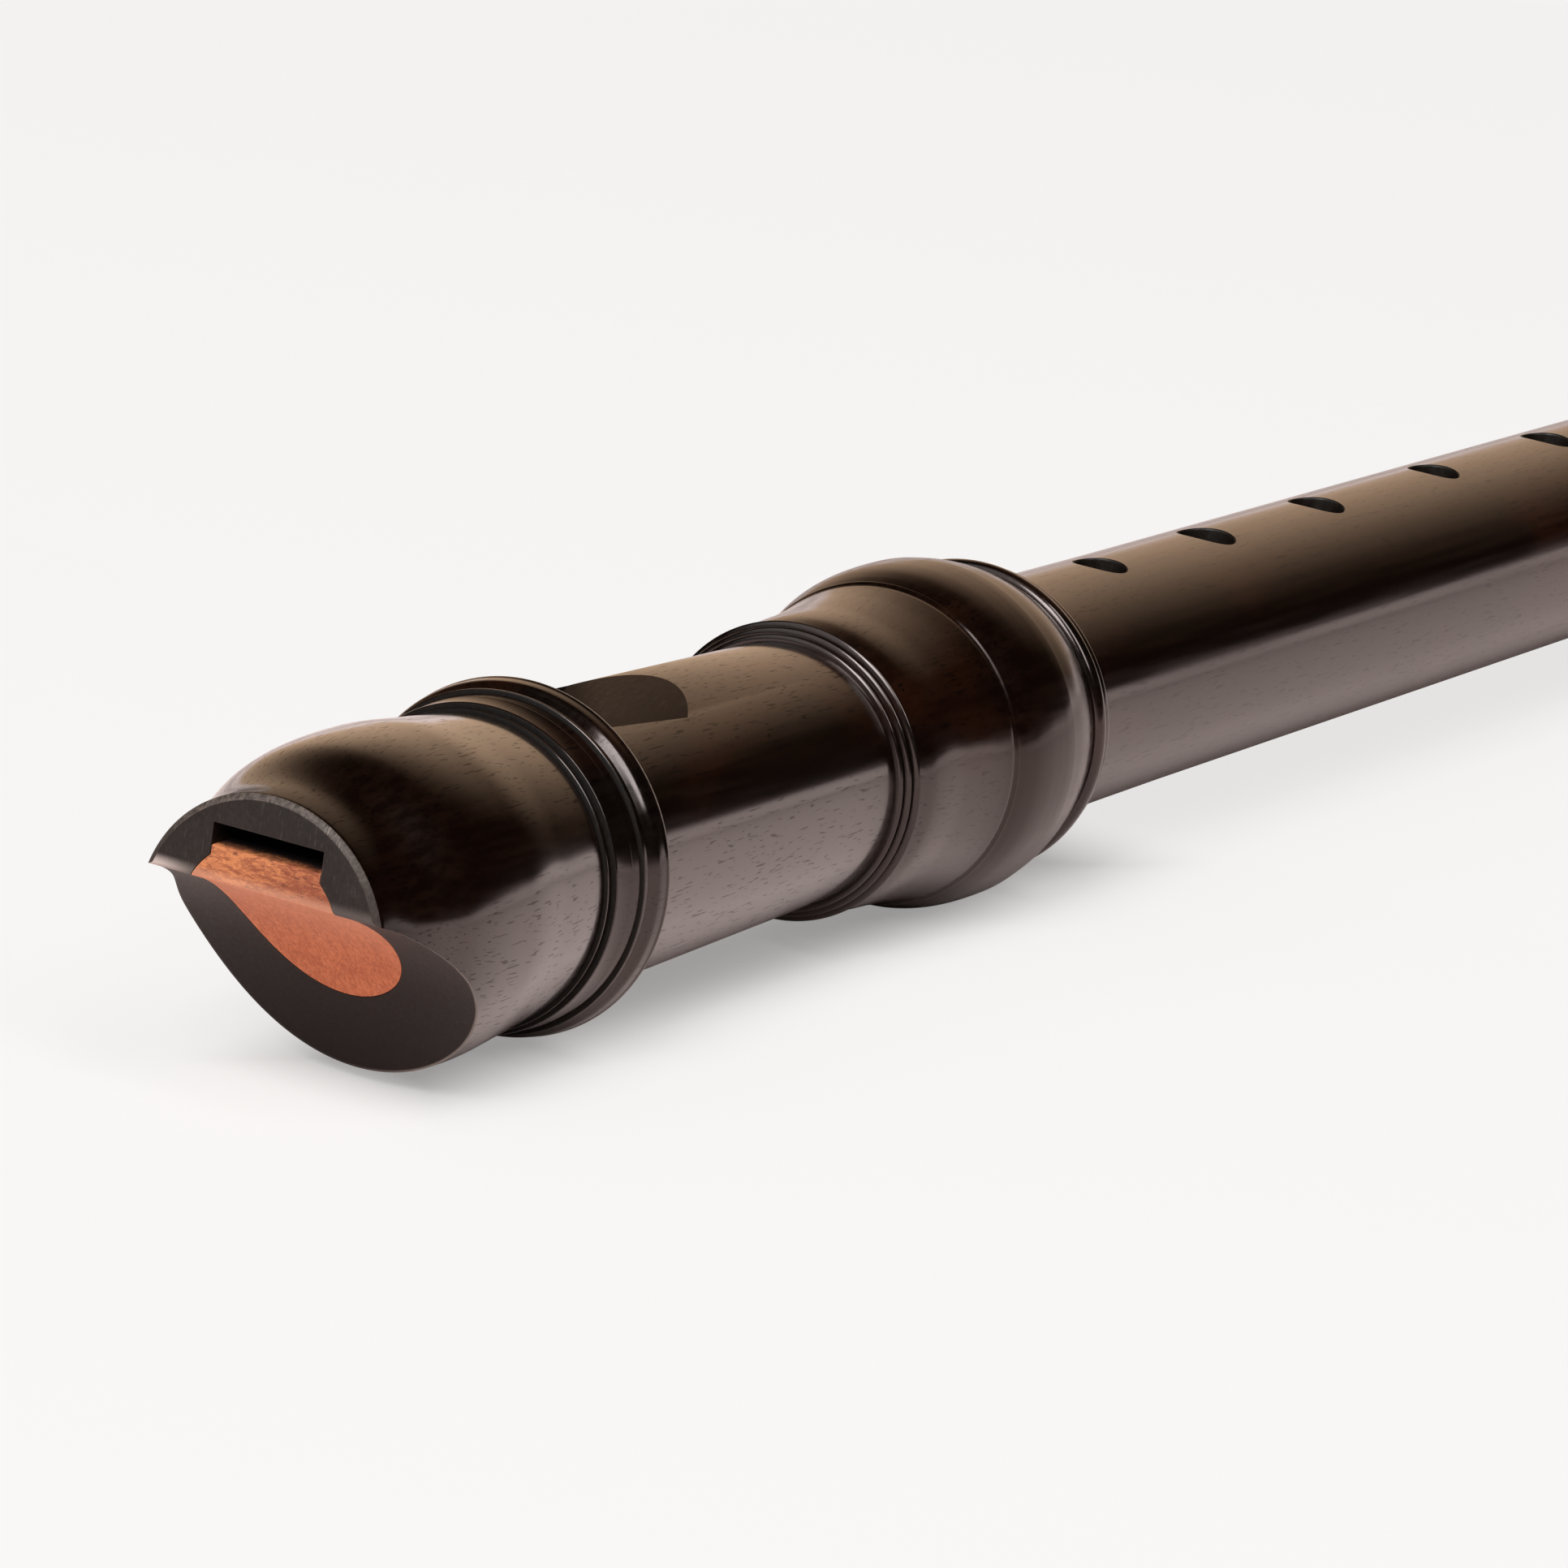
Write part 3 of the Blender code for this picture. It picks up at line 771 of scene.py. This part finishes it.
def liftFarTop(block, above, lift):
    # raises the top of the end that was drawn out last, and leaves that end's face selected
    bpy.ops.object.mode_set(mode="OBJECT")
    mesh = block.data
    far = max(vertex.co.x for vertex in mesh.vertices) - hair * mm
    for vertex in mesh.vertices:
        vertex.select = vertex.co.x > far and vertex.co.z > above + hair * mm
    for edge in mesh.edges:
        edge.select = all(mesh.vertices[i].select for i in edge.vertices)
    for face in mesh.polygons:
        face.select = False
    bpy.ops.object.mode_set(mode="EDIT")
    bpy.ops.mesh.select_mode(type="VERT")
    bpy.ops.transform.translate(value=(0, 0, lift * mm))
    bpy.ops.mesh.select_all(action="DESELECT")
    bpy.ops.object.mode_set(mode="OBJECT")
    for face in mesh.polygons:
        face.select = face.center.x > far
    bpy.ops.object.mode_set(mode="EDIT")
    bpy.ops.mesh.select_mode(type="FACE")


def makeBlock(shape):
    # drawn as its end section, then pushed along the bore in two goes
    shoulder = math.sqrt(shape["radius"] ** 2 - shape["halfWidth"] ** 2)
    corners = []
    for across, up in blockSection(shape, shoulder):
        corners.append(Vector((headStart * mm, across * mm, (boreHeight + up) * mm)))
    block = drawLine("block_cedar", corners)
    bpy.ops.mesh.edge_face_add()
    chamfer = shape["exitChamfer"]
    rise = shape["topExit"] - shape["topBeak"]
    for run, lift in ((shape["length"] - chamfer, rise), (chamfer, -chamfer)):
        bpy.ops.mesh.extrude_region_move(TRANSFORM_OT_translate={"value": (run * mm, 0, 0)})
        liftFarTop(block, (boreHeight + shoulder) * mm, lift)
    bpy.ops.mesh.select_mode(type="VERT")
    closeShape(block, cedarFinish)
    carve(block, scoopTool("block_scoop_tool", scoop, cedarFinish))
    paintWhere(block, cedarEndFinish, lambda a, r, face: a < endFace)
    floorFrom = (boreHeight + shape["floorFrom"]) * mm
    isFloor = lambda a, r, face: face.normal.z > 0.9 and face.center.z > floorFrom
    paintWhere(block, floorFinish, isFloor)
    smoothPiece(block)
    return block


block = makeBlock(blockShape)
print("block fitted")


# Middle joint with its tenons and finger holes

middleShape = {
    "sides": 160,
    "shoulder": [(0.0, 13.35), (0.12, 13.65)],
    "tube": [(0.4, 13.8), (12.0, 13.6), (35.0, 13.4), (193.3, 12.9)],
    "tubeEnd": [(193.58, 12.77), (193.7, 12.5)],
    "upperTenon": {"free": -26.0, "shoulder": 0.0, "radius": 12.0, "groove": (-20.0, -6.0)},
    "lowerTenon": {"free": 213.0, "shoulder": 193.7, "radius": 10.6, "groove": (209.0, 197.0)},
    "grooveDepth": 1.0,
    "bore": (9.0, 6.6),
    "boreUpTo": 9.3,
    "fingerHoles": [
        # along, and radius
        (26.8, 3.0), (54.0, 3.3), (83.4, 3.25), (116.3, 3.0), (149.6, 3.1), (183.0, 2.8),
    ],
    "thumbHole": (13.0, 3.0),
}


def tenonLine(tenon, grooveDepth):
    way = 1 if tenon["shoulder"] > tenon["free"] else -1
    radius, groove = tenon["radius"], tenon["radius"] - grooveDepth
    free = tenon["free"]
    grooveFrom, grooveTo = tenon["groove"]
    line = [(free, radius - 0.5), (free + 0.15 * way, radius - 0.2), (free + 0.5 * way, radius)]
    line += [(grooveFrom, radius), (grooveFrom, groove), (grooveTo, groove), (grooveTo, radius)]
    return line + [(tenon["shoulder"], radius)]


def middleOutline(shape):
    upper, lower = shape["upperTenon"], shape["lowerTenon"]
    line = tenonLine(upper, shape["grooveDepth"]) + shape["shoulder"]
    line += bow(shape["tube"][:3], 6) + bow(shape["tube"][2:], 6)[1:] + shape["tubeEnd"]
    line += list(reversed(tenonLine(lower, shape["grooveDepth"])))
    line += [(lower["free"], shape["bore"][1]), (upper["free"], shape["bore"][0])]
    return line


def tubeRadius(along):
    knots = middleShape["tube"]
    for (x0, r0), (x1, r1) in zip(knots, knots[1:]):
        if along <= x1:
            return r0 + (r1 - r0) * (along - x0) / (x1 - x0)


drill = {
    "sides": 64,
    "startsAt": 5.0,  # from the bore's centre line
    # how far above the wood each ring of the shank stands, and how much wider it is
    "easedRim": [(-0.30, 0.0), (-0.16, 0.03), (-0.06, 0.11), (0.02, 0.24), (1.5, 1.3)],
}


def holeTool(name, start, hole, surface, way, finish):
    # a drill whose shank widens just under the surface, so that the rim is eased all round
    clearSelection()
    along, radius = hole
    sides = drill["sides"]
    centre = ((start + along) * mm, 0, (boreHeight + drill["startsAt"] * way) * mm)
    bpy.ops.mesh.primitive_circle_add(
        vertices=sides, radius=radius * mm, fill_type="NGON", location=(0, 0, 0)
    )
    tool = bpy.context.object
    tool.name = name
    bpy.ops.object.mode_set(mode="EDIT")
    bpy.ops.mesh.select_all(action="SELECT")
    bpy.ops.transform.translate(value=centre)
    for depth, spread in drill["easedRim"]:
        bpy.ops.mesh.extrude_region_move(TRANSFORM_OT_translate={"value": (0, 0, way * mm)})
        bpy.ops.object.mode_set(mode="OBJECT")
        # the new ring is settled on the round of the tube
        for vertex in tool.data.vertices[-sides:]:
            turn = Vector((vertex.co.x - centre[0], vertex.co.y, 0)).normalized()
            across = turn.y * (radius + spread)
            height = math.sqrt(surface ** 2 - across ** 2) + depth
            vertex.co.x = centre[0] + turn.x * (radius + spread) * mm
            vertex.co.y = across * mm
            vertex.co.z = (boreHeight + way * height) * mm
        bpy.ops.object.mode_set(mode="EDIT")
    closeShape(tool, finish)
    return tool


def makeMiddle(shape):
    line = middleOutline(shape)
    middle = turnPiece("middle_turned", line, middleStart, shape["sides"], woodFinish)
    paintWhere(middle, boreFinish, lambda a, r, face: r < shape["boreUpTo"])
    holes = [(hole, 1) for hole in shape["fingerHoles"]] + [(shape["thumbHole"], -1)]
    for hole, way in holes:
        surface = tubeRadius(hole[0])
        carve(middle, holeTool("hole_drill", middleStart, hole, surface, way, boreFinish))
    smoothPiece(middle)
    return middle


middle = makeMiddle(middleShape)
print("middle joint drilled:", len(middle.data.polygons), "faces")


# Foot joint with its bell

footShape = {
    "sides": 160,
    "length": 96.0,
    "mouth": [(0.0, 15.15), (0.1, 15.3), (0.3, 15.35)],
    "mouthBead": (0.4, 2.4, 15.4, 16.3, 16),
    "mouthCove": [(2.6, 15.6)],
    "bulbFront": [(2.8, 15.8), (5.6, 17.7), (9.0, 19.0)],
    "bulbLand": [(12.6, 19.0), (14.8, 18.5), (17.0, 17.7)],
    "bulbLine": [(17.1, 17.5), (17.2, 17.35)],
    "bulbBack": [(17.4, 17.3), (19.4, 16.3), (21.0, 15.3)],
    "bulbCove": [(21.2, 15.0)],
    "bulbBeads": [(21.4, 22.2, 15.0, 16.0), (22.3, 23.0, 14.7, 15.4), (23.1, 23.8, 14.3, 14.9)],
    "tubeStart": [(24.0, 13.95)],
    "tube": [(24.2, 13.9), (36.0, 13.3), (52.0, 13.2), (69.0, 13.8)],
    "tubeEnd": [(69.9, 13.85)],
    "bellBeads": [(70.2, 71.2, 13.9, 14.8), (71.4, 72.8, 14.4, 15.6)],
    "bellCove": [(73.1, 14.75)],
    "bell": [(73.6, 14.9), (78.0, 16.6), (84.4, 17.8), (90.0, 17.2)],
    "endCove": [(90.5, 16.75)],
    "endBead": (90.8, 92.4, 16.7, 17.4, 16),
    "end": [(92.7, 16.95), (93.2, 17.0), (95.4, 16.7), (95.85, 16.45), (96.0, 16.1)],
    "bore": (6.65, 5.9),
    "boreUpTo": 11.2,
    "socket": 10.85,
    "socketDepth": 19.6,
    "rings": [(-1, 2.6, 13), (21.2, 24.0, 14), (70.0, 73.2, 13.8), (90.5, 97, 16.2)],
    "hole": (27.5, 2.9),
    "holeSurface": 13.72,
}


def footOutline(shape):
    line = shape["mouth"] + bead(*shape["mouthBead"]) + shape["mouthCove"]
    line += bow(shape["bulbFront"], 8) + bow(shape["bulbLand"], 8) + shape["bulbLine"]
    line += bow(shape["bulbBack"], 6) + shape["bulbCove"]
    for ring in shape["bulbBeads"]:
        line += bead(*ring)
    line += shape["tubeStart"] + bow(shape["tube"], 8) + shape["tubeEnd"]
    for ring in shape["bellBeads"]:
        line += bead(*ring)
    line += shape["bellCove"] + bow(shape["bell"], 8) + shape["endCove"]
    line += bead(*shape["endBead"]) + shape["end"]
    line += easedMouth(shape["length"], -1, shape["bore"][1])
    line += [(shape["socketDepth"], shape["bore"][0]), (shape["socketDepth"], shape["socket"])]
    line += list(reversed(easedMouth(0.0, 1, shape["socket"])))
    return line


def makeFoot(shape):
    foot = turnPiece("foot_turned", footOutline(shape), footStart, shape["sides"], woodFinish)
    joint = footStart - headStart
    boreEnd, cutFrom = shape["length"] - 0.1, shape["length"] - endFace
    paintRings(foot, footStart, shape["rings"])
    paintWhere(foot, boreFinish, lambda a, r, face: r < shape["boreUpTo"] and a - joint < boreEnd)
    paintWhere(foot, cutFinish, lambda a, r, face: a - joint > cutFrom)
    surface = shape["holeSurface"]
    carve(foot, holeTool("foot_drill", footStart, shape["hole"], surface, 1, boreFinish))
    smoothPiece(foot)
    return foot


foot = makeFoot(footShape)
print("foot turned:", len(foot.data.polygons), "faces")


# Cork lapping on both tenons

corkShape = {
    "upper_cork_lapping": {"from": -19.7, "length": 13.4, "inner": 11.1, "outer": 12.15},
    "lower_cork_lapping": {"from": 197.3, "length": 11.4, "inner": 9.7, "outer": 10.75},
}
corkSides = 128


def lapping(name):
    shape = corkShape[name]
    inner, outer, length = shape["inner"], shape["outer"], shape["length"]
    outline = [(0.0, inner), (0.0, outer - 0.4)] + bow([(0.06, outer - 0.25), (0.4, outer)], 4)
    outline += [(length - 0.4, outer), (length - 0.06, outer - 0.25)]
    outline += [(length, outer - 0.4), (length, inner)]
    cork = turnPiece(name, outline, middleStart + shape["from"], corkSides, corkFinish)
    smoothPiece(cork)
    return cork


upperCork = lapping("upper_cork_lapping")
lowerCork = lapping("lower_cork_lapping")
print("tenons lapped")

for piece, node, body, slotName in (
    (head, "head_joint", "head", "head_wood"),
    (block, "block", "fipple", "cedar"),
    (middle, "middle_joint", "middle", "middle_wood"),
    (foot, "foot_joint", "foot", "foot_wood"),
    (upperCork, "upper_tenon_cork", "upper_cork", "cork"),
    (lowerCork, "lower_tenon_cork", "lower_cork", "cork"),
):
    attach(piece, body)
    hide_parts(node)


# White paper, light and camera

paperLook = {
    "size": 8.0,  # metres
    "colour": (0.98, 0.82, 0.785),
    "seen": (0.965, 0.955, 0.945),
    "glow": (0.945, 0.935, 0.928),
    "glowFrom": (2, 18),  # distances from the recorder's line
    "glowShare": (0.32, 0.78),  # the paper's own glow at these two, which thins the shadow
    "beakClears": (8, 46),  # between these the beak comes down to the paper
    "tubeClears": (-2, 40),  # and between these the middle joint leaves it
    "clearGlow": 0.8,
    "plainFrom": (300, 750),  # farther out than this the paper shows no shading
}


def layPaper(look):
    clearSelection()
    bpy.ops.mesh.primitive_plane_add(size=look["size"], location=(0, 0, 0))
    paper = bpy.context.object
    paper.name = "white_paper"
    finish, tree, shader = newFinish("paper", 0.9)
    shader.inputs["Specular IOR Level"].default_value = 0.1
    rays = tree.nodes.new("ShaderNodeLightPath").outputs["Is Camera Ray"]
    colour = mixColours(tree, rays, look["colour"], look["seen"])
    tree.links.new(colour, shader.inputs["Base Color"])
    glow = tree.nodes.new("ShaderNodeEmission")
    glow.inputs["Color"].default_value = (*look["glow"], 1)
    x, y, z = placeParts(tree)
    near, far = (reach * mm for reach in look["glowFrom"])
    shown = rescale(tree, combine(tree, "ABSOLUTE", y), near, far, *look["glowShare"])
    near, far = (reach * mm for reach in look["plainFrom"])
    plain = rescale(tree, distance(tree, x, y), near, far)
    beak = rescale(tree, x, *fromBeak(*look["beakClears"]), look["clearGlow"], 0.0)
    leaves = [(middleStart + station) * mm for station in look["tubeClears"]]
    tube = rescale(tree, x, *leaves, 0.0, look["clearGlow"])
    for share in (plain, beak, tube):
        shown = combine(tree, "MAXIMUM", shown, share)
    shown = times(tree, rays, shown)
    mixShaders(tree, shown, shader.outputs[0], glow.outputs[0], "Material Output")
    paper.data.materials.append(finish)


skyLook = {
    "seen": (0.945, 0.930, 0.920),
    "washColour": (1.0, 0.68, 0.45),
    "washStrength": 0.78,
    "washFrom": {"x": (0.3, 0.75), "y": (-0.36, 0.25), "z": (0.28, 0.92)},
    "frontStrength": 0.9,
    "frontFrom": (-0.66, 0.27, 0.70),
    "frontSpread": (0.74, 0.94),
    "lowBand": (1.0, 0.83, 0.79),
    "bandTop": (0.06, 0.085),
}


def vectorNode(tree, operation):
    node = tree.nodes.new("ShaderNodeVectorMath")
    node.operation = operation
    return node


def lightSky(look):
    # a dark room with a warm wash low behind the recorder and a broad white light over the beak
    world = bpy.data.worlds.new("studio")
    bpy.context.scene.world = world
    world.use_nodes = True
    tree = world.node_tree
    direction = tree.nodes.new("ShaderNodeTexCoord").outputs["Generated"]
    parts = tree.nodes.new("ShaderNodeSeparateXYZ")
    tree.links.new(direction, parts.inputs[0])
    x, y, z = parts.outputs
    wash = rescale(tree, x, *look["washFrom"]["x"], 0.0, look["washStrength"])
    wash = times(tree, wash, rescale(tree, y, *look["washFrom"]["y"]))
    wash = times(tree, wash, rescale(tree, z, *look["washFrom"]["z"], 1.0, 0.0))
    washLight = vectorNode(tree, "SCALE")
    washLight.inputs[0].default_value = look["washColour"]
    tree.links.new(wash, washLight.inputs["Scale"])
    facing = vectorNode(tree, "DOT_PRODUCT")
    facing.inputs[1].default_value = Vector(look["frontFrom"]).normalized()
    tree.links.new(direction, facing.inputs[0])
    spread = look["frontSpread"]
    front = rescale(tree, facing.outputs["Value"], *spread, 0.0, look["frontStrength"])
    total = vectorNode(tree, "ADD")
    tree.links.new(washLight.outputs[0], total.inputs[0])
    tree.links.new(front, total.inputs[1])
    band = rescale(tree, z, *look["bandTop"], 1.0, 0.0)
    light = mixColours(tree, band, total.outputs[0], look["lowBand"])
    background = tree.nodes["Background"]
    background.inputs["Strength"].default_value = 1.0
    tree.links.new(light, background.inputs["Color"])
    seen = tree.nodes.new("ShaderNodeBackground")
    seen.inputs["Color"].default_value = (*look["seen"], 1)
    rays = tree.nodes.new("ShaderNodeLightPath").outputs["Is Camera Ray"]
    mixShaders(tree, rays, background.outputs[0], seen.outputs[0], "World Output")


softboxes = {
    "aim": (-0.1, 0, 0.02),
    "away": 3.0,  # metres, as are the sides
    "boxes": [
        {"hangs": (-0.20, -0.57, 0.78), "sides": (0.74, 2.2), "power": 33.0},
        {"hangs": (-0.74, -0.12, 0.66), "sides": (1.2, 1.6), "power": 62.0},
    ],
}


def hangSoftboxes(look):
    for softbox in look["boxes"]:
        clearSelection()
        toward = Vector(softbox["hangs"]).normalized()
        place = Vector(look["aim"]) + toward * look["away"]
        bpy.ops.object.light_add(type="AREA", location=place)
        lamp = bpy.context.object
        lamp.name = "softbox"
        lamp.data.shape = "RECTANGLE"
        lamp.data.size, lamp.data.size_y = softbox["sides"]
        lamp.data.energy = softbox["power"]
        lamp.rotation_euler = (-toward).to_track_quat("-Z", "Y").to_euler()


view = {
    "place": (-1.01154, -0.45480, 0.26716),
    "aim": (0.8660261, 0.4383350, -0.2405437),
    "roll": 8.03,
    "lens": 223.6,
    "sensor": 36,
    "nearest": 0.05,
}


def setCamera(look):
    clearSelection()
    bpy.ops.object.camera_add(location=look["place"])
    camera = bpy.context.object
    camera.name = "camera"
    camera.data.lens = look["lens"]
    camera.data.sensor_width = look["sensor"]
    camera.data.clip_start = look["nearest"]
    turn = Vector(look["aim"]).to_track_quat("-Z", "Y").to_euler()
    turn.rotate_axis("Z", math.radians(look["roll"]))
    camera.rotation_euler = turn
    bpy.context.scene.camera = camera


layPaper(paperLook)
lightSky(skyLook)
hangSoftboxes(softboxes)
setCamera(view)
bpy.context.scene.view_settings.view_transform = "Standard"
print("studio ready")
